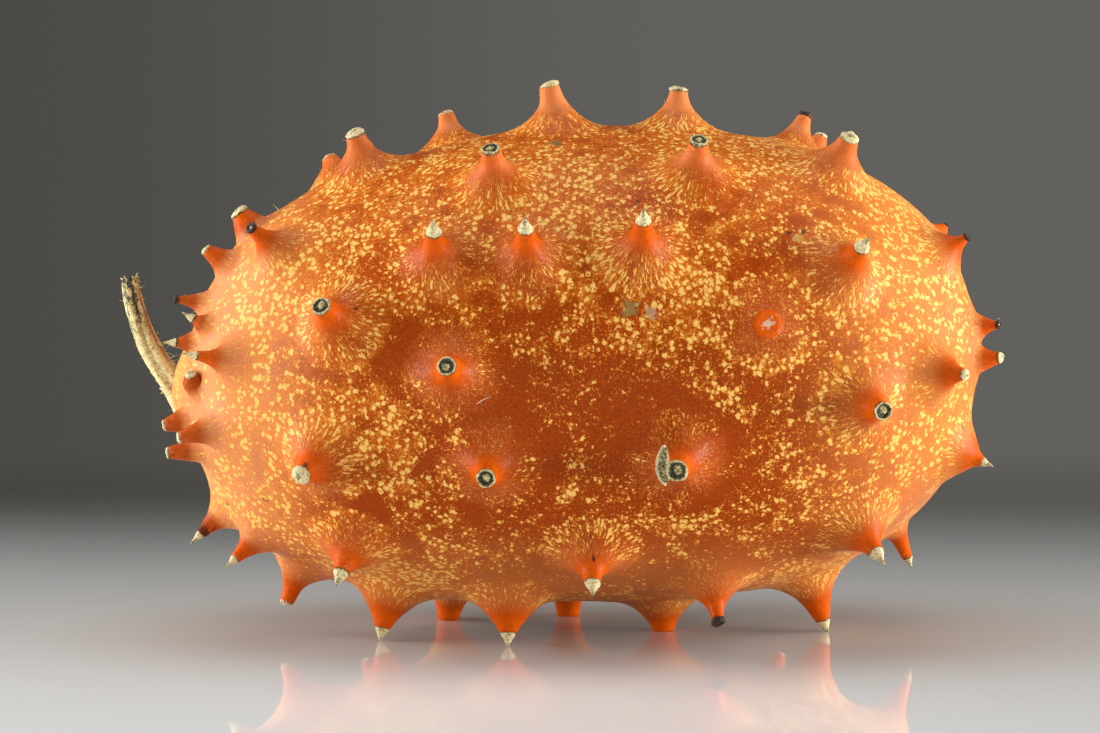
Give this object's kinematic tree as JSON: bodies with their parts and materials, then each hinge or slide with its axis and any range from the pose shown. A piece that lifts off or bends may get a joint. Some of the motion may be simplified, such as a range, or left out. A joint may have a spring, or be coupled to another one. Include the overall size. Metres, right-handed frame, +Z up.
{
  "type": "horned melon",
  "caption": "Whole horned melon, an oval orange fruit with blunt horns all round and a short dried stalk, lying on its horn tips.",
  "frame": {"origin": "under the middle of the part's box, on the surface that it stands on", "axes": "+X along the fruit towards the blossom end, the stalk at -X; +Z up; the front is -Y"},
  "size_m": [0.124, 0.0786, 0.0784],
  "materials": {
    "rind": "waxy, semi-gloss living rind, red-orange with cream-yellow speckles that run in broken bands along the fruit and point at the horns",
    "horn_tip": "dry, corky horn tips: grey-green healed rings, cream calluses, brown withered ends and pale pointed prickles",
    "dried_stalk": "dry, ridged, straw-coloured stalk with grey-brown furrows, a torn dark end and short broken bristles"
  },
  "bodies": {
    "root": {"fruit": "rind", "stalk": "dried_stalk"}
  },
  "joints": []
}
